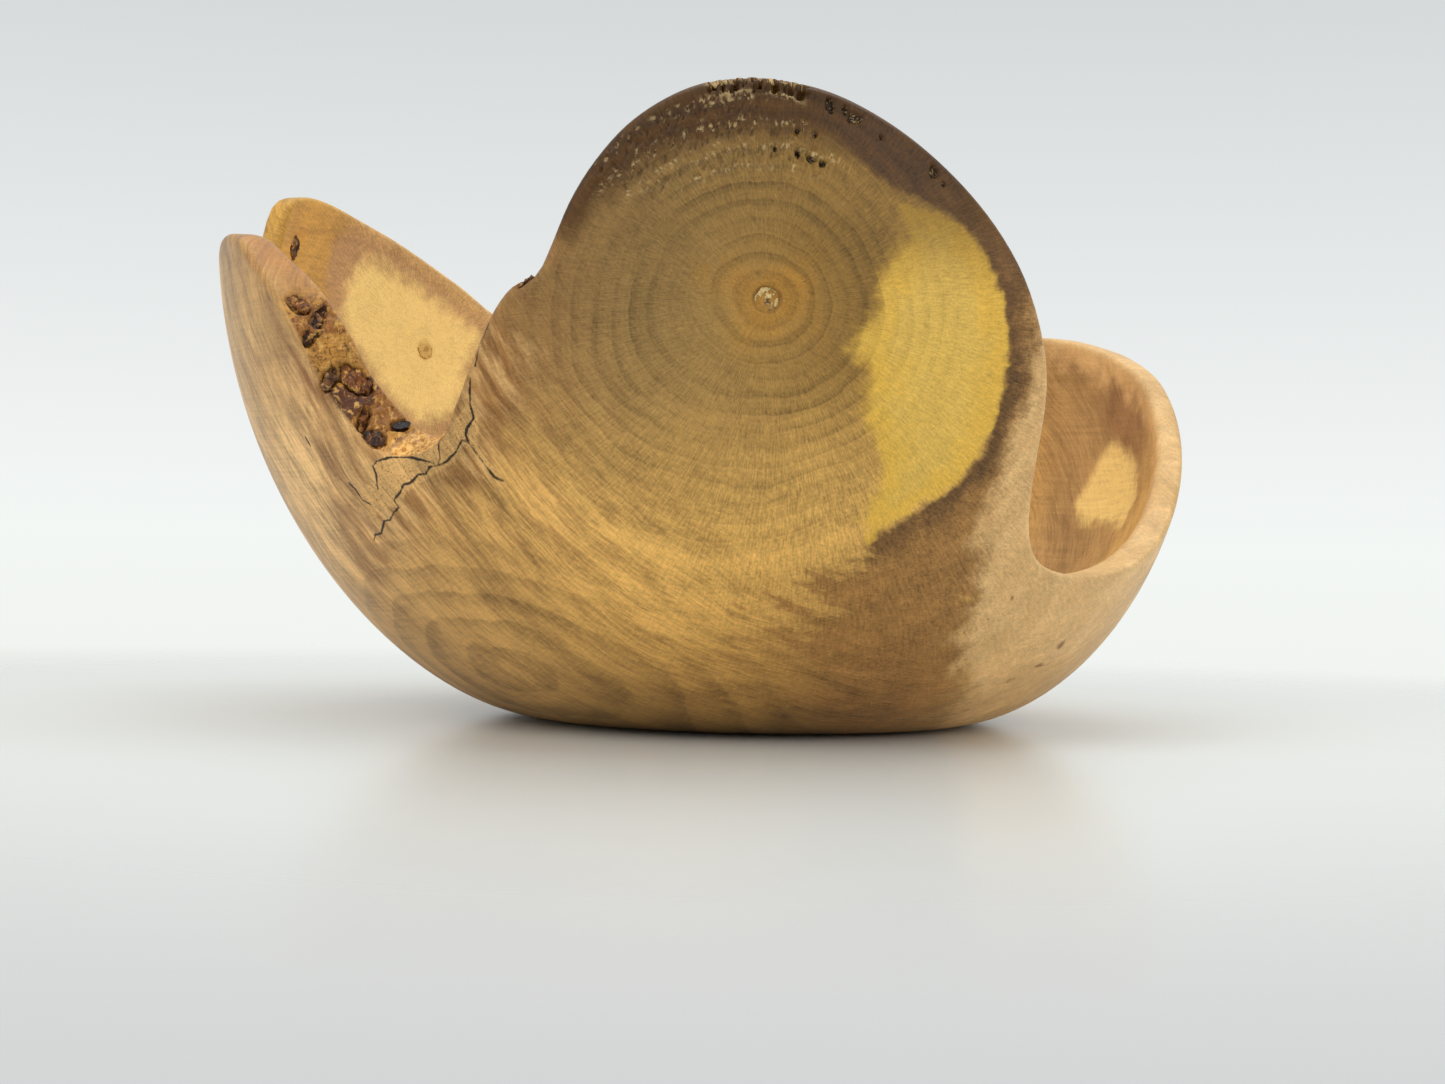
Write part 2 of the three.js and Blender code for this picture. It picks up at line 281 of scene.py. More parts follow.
def bowl_mesh():
    """The bowl's smooth surface in millimetres. Each vertex knows its rim station, how far it is across
    the wall, and its depth below the rim."""
    rows, station, height = bowl_rows()
    centres = [[[0, 0, 0]], [[-LEAN_PER_HEIGHT * FLOOR_THICKNESS, 0, FLOOR_THICKNESS]]]
    points = np.concatenate([row for row, _ in rows] + centres)
    foot_centre, floor_centre = len(points) - 2, len(points) - 1
    faces = []
    for i in range(len(rows) - 1):
        for j in range(COLUMNS):
            k = (j + 1) % COLUMNS
            low, high = i * COLUMNS, (i + 1) * COLUMNS
            faces.append((low + j, low + k, high + k, high + j))
    last = (len(rows) - 1) * COLUMNS
    for j in range(COLUMNS):
        k = (j + 1) % COLUMNS
        faces.append((foot_centre, k, j))
        faces.append((last + j, last + k, floor_centre))
    mesh = bpy.data.meshes.new("turned_bowl")
    mesh.from_pydata(points.tolist(), [], faces)
    put_values(mesh, "across", np.concatenate([across for _, across in rows] + [[0, 1]]))
    put_values(mesh, "station", np.append(np.tile(station, len(rows)), [0, 0]))
    rim = np.append(np.tile(height, len(rows)), [CENTRE_RIM, CENTRE_RIM])
    put_values(mesh, "below", rim - points[:, 2])
    return mesh


# ---- Places in the wood, as (azimuth, height) ----

PITH_FRONT = (275.2, 77.8)
PITH_BACK = (136.6, 82.5)
OVAL_CENTRE = (231.5, 12)
OVAL_SHAPE = (0.6, 1.3)
# The streaks curve round a line through this point, in millimetres
STREAK_CENTRE = (61.0, -100.0, 163.0)

YELLOW_BORDER = [
    (292.4, 93.9), (295.4, 88.4), (297, 80), (298, 71.5), (298.3, 62.8), (298.5, 54), (296.2, 47.8),
    (291.6, 43.3), (287.3, 39.7), (286, 37),
]
YELLOW_FRONT = [
    (285.7, 81.9), (288.2, 89), (288.1, 95.8), *YELLOW_BORDER, (284.9, 41.3), (286.5, 46.5), (286.8, 52.5),
    (284.5, 57.5), (284.1, 62.5), (284.5, 67.5), (282.4, 69.9), (285.1, 75.1),
]
YELLOW_BACK = [
    (151.4, 94.5), (149.3, 100.3), (145.3, 102.1), (140.9, 100.7), (136.7, 97.1), (131.8, 92.8),
    (128, 89.3), (126.3, 86.8), (128.7, 81), (132.9, 67.6), (140, 64.8), (144.9, 69.8), (149.5, 80.7),
    (152.9, 87.7),
]
YELLOW_RIGHT = [
    (377.4, 61.6), (368.8, 56.3), (363.7, 48), (365.4, 42.7), (375.3, 43.7), (380.5, 42.8),
    (384.5, 47.5), (380.9, 56.9),
]
DARK_FRONT = [
    (283, 106), (287, 98.5), *YELLOW_BORDER, (282.1, 30.8), (277.1, 25.3), (276.6, 17.9), (282, 10.3),
    (287.3, 2), (296, -6), (312, -6), (309, 20), (308, 40), (306.5, 60), (305, 76), (302, 92), (298, 108),
    (288, 118),
]
DARK_BACK = [
    (156.5, 80), (156.4, 97.9), (154, 106.4), (150.7, 110), (144.3, 108.6), (134.8, 101.5), (124, 89.7),
    (125, 76), (131, 62), (142, 58), (151, 66),
]
DARK_RIGHT = [
    (380.2, 76.4), (375.4, 74.4), (370, 70.2), (365.6, 60), (367, 53), (371, 55), (378, 62),
    (381, 66.5),
]
TOP_BROWN = [
    (257.5, 88.6), (260.3, 94.3), (265.4, 100.6), (270.3, 103.8), (276, 105.4), (281.5, 104.5),
    (285.8, 102), (289.5, 98), (296, 101), (292, 125), (256, 125), (250, 88),
]
SAP_RIGHT = [
    (303, 112), (302.4, 101), (301.4, 91), (301, 83.8), (301.2, 77.1), (301.6, 70.1), (302, 63.1),
    (302.4, 54.3), (302.6, 45.5), (302.2, 37.4), (303.5, 29.3), (306.4, 20), (311.8, 10), (330, -6),
    (425, -10), (418, 60), (428, 125), (304, 125),
]
PINK = [
    (226.7, 57.7), (229.5, 50.5), (239.1, 53.9), (245.2, 69.2), (248.5, 74.1), (252.5, 68.7),
    (249.7, 60.3), (246, 52.2), (244.6, 47), (236.4, 43.4), (227, 36.1), (214.7, 24.4), (212.9, 35.8),
    (217.3, 50.9), (214, 66), (219, 72),
]
PALE_SPALT = [
    (227.9, 47.4), (227.9, 49.8), (230.5, 51.5), (236.9, 52), (240, 54.6), (243.4, 60.3), (244.6, 58),
    (243.6, 53), (245.5, 47.5), (241.9, 52.9), (240.7, 50.8), (237.7, 48.4), (232.9, 45.4),
    (229.2, 42.4), (224, 40.5), (222, 44),
]
BLACK_LINES = [
    [
        (245.6, 46.9), (244.6, 47.5), (243.5, 50.8), (242.6, 53.5), (241.9, 53.9), (240.7, 51.8),
        (239, 50.1), (237.7, 49.4), (236.6, 49.3), (235.7, 48), (234.6, 47.9), (232.9, 46.4),
        (231.8, 46.2), (230.8, 44.8), (229.2, 43.4), (229.5, 42), (228.3, 41.2), (227, 39.8),
        (225.8, 39.6), (224, 37.3), (222.6, 37), (221.7, 36),
    ],
    [
        (227.2, 45.4), (227.9, 47.9), (227.9, 49.5), (228.9, 50.3), (231.2, 51), (234.2, 51),
        (236.9, 50.1), (237.7, 49.4),
    ],
    [
        (244.6, 64.5), (244.2, 62), (243.9, 59.7), (244, 57.6), (242.7, 55.6), (242.5, 54.6),
        (242.6, 53.5),
    ],
    [(239.1, 54.6), (238.6, 52.7), (238.4, 50.8), (237.7, 49.4)],
    [(247.6, 73.6), (246.7, 70.8), (246.2, 69.8), (245.4, 66.4)],
    [(222.2, 46.5), (223, 45.2), (223.4, 43.4), (224.6, 42.6)],
    [(216.5, 55), (216.9, 53.4)],
]
TORN_ROWS = [
    [
        (260.6, 98.6), (261.8, 100.5), (263.7, 103.4), (265.7, 106), (268.7, 108.6), (271.6, 110.5),
        (276, 111.3),
    ],
    [
        (265.5, 96), (269.1, 98.4), (271.1, 100.1), (274, 102), (276.8, 102.7), (279.6, 102.4),
        (282.1, 101.5),
    ],
    [(262.8, 97), (266.5, 101.6), (270.5, 105), (275.5, 107.2), (279.5, 107)],
]
TORN_NOTCH = [(272.6, 114.2), (275, 115.2), (277.5, 115.2), (280.4, 114)]
# Torn holes and flecks, as (azimuth, height, half width, half height)
TORN_HOLES = [
    (283, 111.5, 0.75, 1.5), (285.1, 109.5, 1.3, 1.0), (284.3, 110.9, 0.5, 0.9),
    (280.6, 101.9, 0.9, 0.7), (279.4, 102.8, 0.5, 0.8), (281.6, 101.2, 0.5, 0.6),
    (291.5, 101.2, 0.7, 1.1), (292.2, 99.2, 0.35, 0.5), (287.2, 106.5, 0.35, 0.5),
    (277.4, 103.3, 0.4, 0.6), (281.2, 106.2, 0.5, 0.5), (279.7, 106.8, 0.4, 0.5),
]
FLECKS = [
    (310.6, 27.9, 1.9, 0.5), (313.1, 27.5, 1.2, 0.45), (308.7, 23.7, 2.4, 0.45), (324, 18.5, 1.6, 1.0),
    (322.9, 14.5, 2.0, 0.5), (319, 11.7, 1.2, 0.8), (337.7, 32.2, 0.9, 0.4), (337, 27.1, 1.2, 0.4),
    (315.5, 32.2, 0.9, 0.3), (305.5, 21.6, 1.0, 0.5),
]

# Colours, as red, green and blue of 255
EDGE_BROWN = (104, 68, 24)
YELLOW_PALE = (214, 175, 83)
YELLOW_RICH = (216, 172, 70)
YELLOW_TOP = (136, 102, 36)
# Painted light: the yellow lifted where the inside of the bowl is lit
YELLOW_INSIDE_LIT = (248, 214, 134)
BAND_DARK = (94, 65, 37)
BAND_LIGHT = (150, 108, 58)
BAND_BACK = (184, 143, 98)
BAND_RIGHT = (146, 108, 70)
TOP_DARK = (48, 26, 6)
SAP = (222, 182, 124)
SAP_SHADE = (210, 169, 112)
PINK_LIGHT = (200, 158, 102)
PINK_DARK = (120, 77, 36)
SPALT_PALE = (200, 158, 98)
HEART_ORANGE = (196, 138, 50)
ROSY_BROWN = (146, 96, 58)
SPALT_BLACK = (20, 15, 12)
TORN_PALE = (214, 184, 130)
# Painted shade in the sunk torn holes
HOLE_SHADE = (40, 26, 14)
HOLE_FIBRE = (196, 160, 104)
# Painted shade in the sunk grooves round the held pieces
POCKET_SHADE = (52, 30, 16)
FLECK_BROWN = (128, 80, 38)
FLAKE_DARK = (84, 44, 24)
FLAKE_BROWN = (146, 94, 40)
FLAKE_AMBER = (176, 124, 52)
FLAKE_EDGE = (60, 32, 18)
LAYER_PALE = (206, 158, 84)
# Painted shade between the bark layers of the slot face
LAYER_SHADE = (78, 40, 22)
LEDGE_ORANGE = (172, 112, 48)
LEDGE_PALE = (228, 178, 100)
KNOT_BLACK = (18, 15, 17)
KNOT_BROWN = (58, 44, 42)
CARD_SHADE = (222, 224, 221)
CARD_PALE = (226, 228, 224)

# The wood's slow changes of colour, as (azimuth, height, across, colour). Across is 0 outside, 1 inside.
TONES = [
    # front lobe, from the pith outwards
    (275, 78, 0, (158, 120, 58)), (267, 73, 0, (150, 122, 72)), (262, 84, 0, (122, 94, 52)),
    (270, 90, 0, (136, 106, 56)), (282, 77, 0, (108, 76, 22)), (281, 90, 0, (128, 96, 40)),
    (269, 58, 0, (150, 118, 66)), (280, 62, 0, (156, 118, 56)), (259, 70, 0, (140, 112, 66)),
    (259, 88, 0, (112, 84, 44)), (288, 93, 0, (138, 104, 46)), (270, 48, 0, (204, 158, 84)),
    # lower body
    (280, 44, 0, (214, 170, 92)), (271, 34, 0, (216, 170, 90)), (252, 47, 0, (204, 160, 88)),
    (259, 34, 0, (212, 166, 90)), (258, 22, 0, (216, 168, 92)), (282, 32, 0, (206, 158, 84)),
    (270, 14, 0, (178, 134, 68)), (243, 40, 0, (190, 146, 82)), (236, 34, 0, (190, 146, 84)),
    (230, 25, 0, (190, 148, 86)), (240, 12, 0, (190, 148, 84)), (250, 6, 0, (120, 88, 42)),
    (284, 8, 0, (122, 90, 46)), (220, 20, 0, (178, 138, 84)), (320, 4, 0, (170, 134, 80)),
    # shoulder and left lobe
    (250, 66, 0, (138, 100, 54)), (248, 76, 0, (140, 102, 58)), (254, 76, 0, (128, 96, 54)),
    (222, 68, 0, (140, 105, 60)), (216, 84, 0, (160, 122, 72)), (217, 45, 0, (246, 200, 134)),
    (206, 80, 0, (180, 144, 90)), (205, 40, 0, (200, 160, 104)), (212, 88, 0.5, (156, 102, 42)),
    (190, 60, 0, (200, 160, 106)), (200, 8, 0, (180, 140, 84)),
    # back and right, outside
    (150, 80, 0, (196, 152, 82)), (150, 30, 0, (186, 144, 84)), (100, 60, 0, (160, 124, 70)),
    (100, 20, 0, (200, 156, 90)), (60, 60, 0, (206, 164, 92)), (60, 20, 0, (186, 144, 86)),
    # inside
    (166, 108, 1, (184, 138, 58)), (160, 92, 1, (196, 150, 74)), (138, 106, 1, (202, 160, 104)),
    (126, 92, 1, (206, 166, 112)), (137, 82, 1, (216, 172, 92)), (140, 50, 1, (208, 162, 92)),
    (112, 70, 1, (204, 160, 90)), (90, 60, 1, (170, 132, 76)), (27, 72, 1, (166, 132, 84)),
    (15, 50, 1, (170, 134, 86)), (45, 60, 1, (206, 162, 92)), (350, 35, 1, (200, 160, 94)),
    (320, 22, 1, (204, 158, 90)), (270, 90, 1, (150, 116, 66)), (270, 50, 1, (204, 160, 88)),
    (225, 60, 1, (184, 142, 92)), (200, 80, 1, (182, 140, 90)), (180, 50, 1, (204, 160, 92)),
    (270, 20, 1, (206, 162, 92)), (90, 20, 1, (206, 162, 92)),
]
TONE_REACH = 15
# The two sides of the wall count as this many millimetres apart, so that each keeps its own colours
SIDES_APART = 25


def srgb(colour):
    """A colour of 255 as linear red, green, blue and alpha."""
    channels = [c / 255 for c in colour]
    return [c / 12.92 if c <= 0.04045 else ((c + 0.055) / 1.055) ** 2.4 for c in channels] + [1.0]


def places(outline):
    """Outside points for a list of (azimuth, height)."""
    return outside_point(*np.array(outline, float).T)


def distance_to_line(points, line):
    """The distance from each point to a line of straight pieces, in millimetres."""
    nearest = np.full(len(points), np.inf)
    for a, b in zip(line, line[1:]):
        along = b - a
        share = np.clip((points - a) @ along / (along @ along), 0, 1)
        nearest = np.minimum(nearest, np.linalg.norm(points - a - share[:, None] * along, axis=1))
    return nearest


def wrap_near(azimuth, centre):
    return (azimuth - centre + 180) % 360 - 180 + centre


def inside_outline(azimuth, z, outline):
    azimuth = wrap_near(azimuth, np.mean([p[0] for p in outline]))
    inside = np.zeros(len(azimuth), bool)
    for (a0, z0), (a1, z1) in zip(outline, outline[1:] + outline[:1]):
        crosses = (z0 > z) != (z1 > z)
        inside ^= crosses & (azimuth < a0 + (a1 - a0) * (z - z0) / (z1 - z0 if z1 != z0 else 1))
    return inside


def zone(wall, outline):
    """The distance in millimetres into a zone of the wall, negative outside it."""
    distance = distance_to_line(wall["outside"], places(outline + outline[:1]))
    return np.where(inside_outline(wall["azimuth"], wall["z"], outline), distance, -distance)


# Stands for "nowhere near" in values that count millimetres or mark sizes
FAR = 9.0


def spots(wall, marks):
    """How deep each place is in the nearest round mark: 1 at the centre, 0 at the edge, less outside."""
    deepest = np.full(len(wall["z"]), -FAR)
    for azimuth, z, half_width, half_height in marks:
        sideways = (wall["azimuth"] - azimuth) * GIRTH_PER_DEGREE * outer_radius(z) / BELLY_RADIUS
        reach = np.hypot(sideways / half_width, (wall["z"] - z) / half_height)
        deepest = np.maximum(deepest, 1 - reach)
    return deepest


def grain_noise(points, scale, octaves=3, seed=0.0):
    """Fractal noise of about -1 to 1, for points in millimetres."""
    offset = Vector((seed, 2 * seed, -seed))
    return np.array([noise.fractal(Vector(p) * scale + offset, 1.0, 2.0, octaves) for p in points.tolist()])


# ---- The bowl's surface detail ----

FINE_STATIONS = (211, 251)
TORN_STATIONS = (255, 294)
TORN_HEIGHT = 94
POCKET_DEPTH = 1.1
CORE_DEPTHS = {"front_pith_core": 0.8, "back_pith_core": 0.3}
POCKET_REACH = 0.45
SLOT_ROUGHNESS = 0.42
TORN_DEPTH = 0.55
NOTCH_DEPTH = 1.7
HOLE_DEPTH = 1.1
SLOT_FACE_DEPTH = 2.6
LINE_REACH = 2.6
LINE_SHAKE = 0.75
ROW_REACH = 3.5
HOLE_REACH = 2.5
PITH_REACH = 5.5
BARK_STATIONS = (216.5, 219.5, 229, 231.5)
LEDGE_STATIONS = (229.5, 231.5, 240, 244)
LINE_AZIMUTHS = (210, 214, 250, 254)


def wall_facts(mesh):
    """What is known of each vertex of the wall."""
    points = numbers_of(mesh.vertices, "co", 3)
    azimuth = azimuth_of(points)
    wall = {
        "points": points,
        "normals": numbers_of(mesh.vertex_normals, "vector", 3),
        "azimuth": azimuth,
        "z": points[:, 2],
        "outside": outside_point(azimuth, points[:, 2]),
    }
    for name in ("across", "station", "below"):
        wall[name] = numbers_of(mesh.attributes[name].data, "value", 1)[:, 0]
    return wall


def between(value, limits):
    """1 between the inner two of four limits, falling to 0 at the outer two."""
    return smoothstep(value, limits[0], limits[1]) * (1 - smoothstep(value, limits[2], limits[3]))


def refine(mesh, chosen, cuts):
    """Splits the faces whose corners are all chosen."""
    b = bmesh.new()
    b.from_mesh(mesh)
    faces = [f for f in b.faces if all(chosen[v.index] for v in f.verts)]
    edges = {e for f in faces for e in f.edges}
    bmesh.ops.subdivide_edges(b, edges=list(edges), cuts=cuts, use_grid_fill=True)
    bmesh.ops.triangulate(b, faces=[f for f in b.faces if len(f.verts) > 4])
    b.to_mesh(mesh)
    b.free()


def nearest_line(points, lines):
    return np.min([distance_to_line(points, places(line)) for line in lines], axis=0)


def fine_places(wall):
    """Where the surface has small shapes: the slot's face, torn grain, black lines and the pith."""
    station, azimuth, across = wall["station"], wall["azimuth"], wall["across"]
    slot_face = (station > FINE_STATIONS[0]) & (station < FINE_STATIONS[1])
    slot_face &= wall["below"] < SLOT_FACE_DEPTH
    torn = (azimuth > TORN_STATIONS[0]) & (azimuth < TORN_STATIONS[1])
    torn &= (wall["z"] > TORN_HEIGHT) & (across < 0.5)
    near_rows = nearest_line(wall["outside"], TORN_ROWS + [TORN_NOTCH]) < ROW_REACH
    near_holes = spots(wall, [(a, z, w + HOLE_REACH, h + HOLE_REACH) for a, z, w, h in TORN_HOLES]) > 0
    shaken = wall["outside"].copy()
    near_slot = np.nonzero(between(azimuth, LINE_AZIMUTHS))[0]
    for axis in range(3):
        shake = grain_noise(wall["outside"][near_slot], 0.75, 3, 20.0 + axis)
        shaken[near_slot, axis] += LINE_SHAKE * shake
    lines = nearest_line(shaken, BLACK_LINES) < LINE_REACH
    chosen = slot_face | (torn & (near_rows | near_holes)) | (lines & (across < 0.3))
    return chosen | (pith_distance(wall["points"]) < PITH_REACH)


def pith_axis():
    front = wall_point(*np.array([*PITH_FRONT, outer_radius(PITH_FRONT[1])]))
    back = wall_point(*np.array([*PITH_BACK, inner_radius(*PITH_BACK)]))
    return front, (back - front) / np.linalg.norm(back - front)


def pith_distance(points):
    """The distance from the pith, a straight line through both lobes."""
    front, along = pith_axis()
    offset = points - front
    return np.linalg.norm(offset - (offset @ along)[:, None] * along, axis=1)


def sculpt(wall, nodes):
    """How far each vertex sinks below the smooth surface, in millimetres."""
    points = wall["points"]
    count = len(points)
    sink = np.zeros(count)

    face = smoothstep(wall["across"], 0.02, 0.1) * (1 - smoothstep(wall["across"], 0.92, 0.99))
    bark = between(wall["station"], BARK_STATIONS) * face
    ledge = between(wall["station"], LEDGE_STATIONS) * face
    rough = np.nonzero(bark + ledge > 0.02)[0]
    coarse = grain_noise(points[rough], 0.55, 4, 3.0)
    ridge = 1 - np.abs(grain_noise(points[rough], 0.4, 3, 9.0)) * 2
    sink[rough] += SLOT_ROUGHNESS * (bark[rough] * (coarse + 0.25) + ledge[rough] * (0.8 * ridge - 0.2))

    rows = nearest_line(wall["outside"], TORN_ROWS)
    outside = wall["across"] < 0.3
    torn = np.nonzero((rows < 3) & outside)[0]
    stretched = points[torn] * (1.5, 1.5, 0.8)
    pits = grain_noise(stretched, 1.0, 2, 5.0)
    sink[torn] += TORN_DEPTH * smoothstep(pits, 0.12, 0.42) * smoothstep(2.6 - rows[torn], 0, 1.6)
    notch_distance = distance_to_line(wall["points"], places(TORN_NOTCH))
    notch = np.nonzero((notch_distance < 3.2) & (wall["across"] < 0.75))[0]
    cells = grain_noise(points[notch] * (1.3, 1.3, 0.7), 0.9, 3, 7.0)
    near_notch = smoothstep(2.6 - notch_distance[notch], 0, 1.6)
    sink[notch] += NOTCH_DEPTH * near_notch * smoothstep(cells, -0.25, 0.35)
    holes = spots(wall, TORN_HOLES)
    deep = np.nonzero((holes > -0.6) & outside)[0]
    ragged = holes[deep] + 0.35 * grain_noise(points[deep], 1.4, 2, 2.0)
    sink[deep] += HOLE_DEPTH * smoothstep(ragged, -0.15, 0.35)
    wall["holes"] = np.full(count, -1.0)
    wall["holes"][deep] = ragged
    wall["torn"] = np.zeros(count)
    wall["torn"][torn] = smoothstep(pits, 0.1, 0.35) * smoothstep(2.6 - rows[torn], 0, 1.4)
    wall["torn"][notch] = np.maximum(wall["torn"][notch], smoothstep(2.8 - notch_distance[notch], 0, 1.4))

    wall["pocket"] = np.full(count, FAR)
    for node in nodes:
        low, high = (np.array(corner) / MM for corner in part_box(node.name))
        near = np.nonzero(((points > low - 2) & (points < high + 2)).all(1))[0]
        corners = [v.co / MM for v in node.data.vertices]
        tree = BVHTree.FromPolygons(corners, [p.vertices for p in node.data.polygons])
        distance = np.array([tree.find_nearest(Vector(p))[3] for p in points[near].tolist()])
        core = node.name.endswith("pith_core")
        wobble = 0.08 if core else 0.35
        distance += wobble * grain_noise(points[near], 1.1, 2, 4.0)
        wall["pocket"][near] = np.minimum(wall["pocket"][near], distance + (0.22 if core else 0))
        depth = CORE_DEPTHS.get(node.name, POCKET_DEPTH)
        sink[near] = np.maximum(sink[near], depth * (1 - smoothstep(distance, 0.05, POCKET_REACH)))
    wall["bark"], wall["ledge"] = bark, ledge
    return sink


def tones(wall):
    """The slow changes of colour, blended from the nearest tones."""
    blended = np.zeros((len(wall["z"]), 4))
    total = np.zeros(len(wall["z"]))
    for azimuth, z, across, colour in TONES:
        centre = outside_point(np.array(float(azimuth)), np.array(float(z)))
        apart = np.linalg.norm(wall["outside"] - centre, axis=1)
        apart += SIDES_APART * np.abs(wall["across"] - across)
        share = 1 / (1 + (apart / TONE_REACH) ** 4)
        blended += share[:, None] * np.array(srgb(colour))
        total += share
    blended /= total[:, None]
    blended[:, 3] = 1
    return blended


def around(points, centre, along):
    """For each point, its direction about a line as two numbers, and its distance from it."""
    side = np.cross(along, (0, 0, 1.0))
    side /= np.linalg.norm(side)
    up = np.cross(side, along)
    offset = points - centre
    across, rise = offset @ side, offset @ up
    distance = np.maximum(np.hypot(across, rise), 1e-6)
    return np.stack([across / distance, rise / distance, distance], axis=1)


# Keeps the right lobe's inner zones off the outside of the wall
OUTSIDE_LESS = 30
# Behind this, the sapwood's distances count for less, so its border is softer
SOFT_BEHIND = 30
SOFT_SHARE = 0.3
RIM_BAND = 5


def colour_bowl(mesh, wall):
    """Stores what the wood's material reads."""
    front, along = pith_axis()
    points, across, z = wall["points"], wall["across"], wall["z"]
    put_values(mesh, "rays", around(points, front, along), "FLOAT_VECTOR")
    put_values(mesh, "streaks", around(points, np.array(STREAK_CENTRE), along), "FLOAT_VECTOR")
    put_values(mesh, "tone", tones(wall), "FLOAT_COLOR")

    inner = smoothstep(across, 0.3, 0.9)
    outside_less = -OUTSIDE_LESS * (1 - inner)
    yellow = np.maximum(zone(wall, YELLOW_FRONT), 0.35 * zone(wall, YELLOW_BACK))
    sap = zone(wall, SAP_RIGHT) * np.where(wall["outside"][:, 1] > SOFT_BEHIND, SOFT_SHARE, 1)
    sap_inside = np.minimum(sap, RIM_BAND - wall["below"])
    sideways = (wall["azimuth"] - OVAL_CENTRE[0]) * GIRTH_PER_DEGREE * outer_radius(z) / BELLY_RADIUS
    values = {
        "depth": (points - front) @ along,
        "end_grain": np.abs(wall["normals"] @ along),
        "oval": np.hypot(sideways * OVAL_SHAPE[0], (z - OVAL_CENTRE[1]) * OVAL_SHAPE[1]),
        "yellow": np.maximum(yellow, 0.5 * zone(wall, YELLOW_RIGHT) + outside_less),
        "dark": zone(wall, DARK_FRONT),
        "dark_back": np.maximum(zone(wall, DARK_BACK), zone(wall, DARK_RIGHT) + outside_less),
        "top": zone(wall, TOP_BROWN),
        "sap": sap * (1 - inner) + sap_inside * inner,
        "pink": zone(wall, PINK),
        "pale_spalt": zone(wall, PALE_SPALT) - 6 * across,
        "black_line": nearest_line(wall["outside"], BLACK_LINES) + 2 * across,
        "flecks": spots(wall, FLECKS) - FAR * inner,
    }
    for name in ("torn", "holes", "pocket", "bark", "ledge"):
        values[name] = wall[name]
    for name, each in values.items():
        put_values(mesh, name, each)


def finish_mesh(mesh):
    """Turns millimetres into metres and shades the mesh smooth."""
    mesh.transform(Matrix.Scale(MM, 4))
    mesh.shade_smooth()
    mesh.update()


def add_piece(name, mesh, node_name):
    """A visible piece that stands for a CAD node."""
    piece = new_object(name, mesh)
    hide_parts(node_name)
    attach(piece, "root")
    return piece


def build_bowl(nodes):
    mesh = bowl_mesh()
    refine(mesh, fine_places(wall_facts(mesh)), 3)
    wall = wall_facts(mesh)
    sink = sculpt(wall, nodes)
    colour_bowl(mesh, wall)
    sunk = wall["points"] - sink[:, None] * wall["normals"]
    mesh.vertices.foreach_set("co", sunk.astype(np.float32).ravel())
    finish_mesh(mesh)
    return add_piece("spalted_bowl", mesh, "bowl_body")


def ragged_copy(node, name, slot, cuts, inset, roughness, scale):
    """A finely broken copy of a held CAD piece, a little smaller than its pocket."""
    mesh = node.data.copy()
    mesh.materials.clear()
    b = bmesh.new()
    b.from_mesh(mesh)
    bmesh.ops.remove_doubles(b, verts=b.verts, dist=0.00001)
    bmesh.ops.subdivide_edges(b, edges=b.edges[:], cuts=cuts, use_grid_fill=True)
    bmesh.ops.triangulate(b, faces=b.faces[:])
    b.normal_update()
    for vertex in b.verts:
        rough = noise.fractal(vertex.co / MM * scale, 1.0, 2.0, 4)
        vertex.co = vertex.co - vertex.normal * MM * (inset + roughness * rough)
    b.to_mesh(mesh)
    b.free()
    mesh.shade_smooth()
    return add_piece(name, mesh, node.name)


# ---- Materials ----


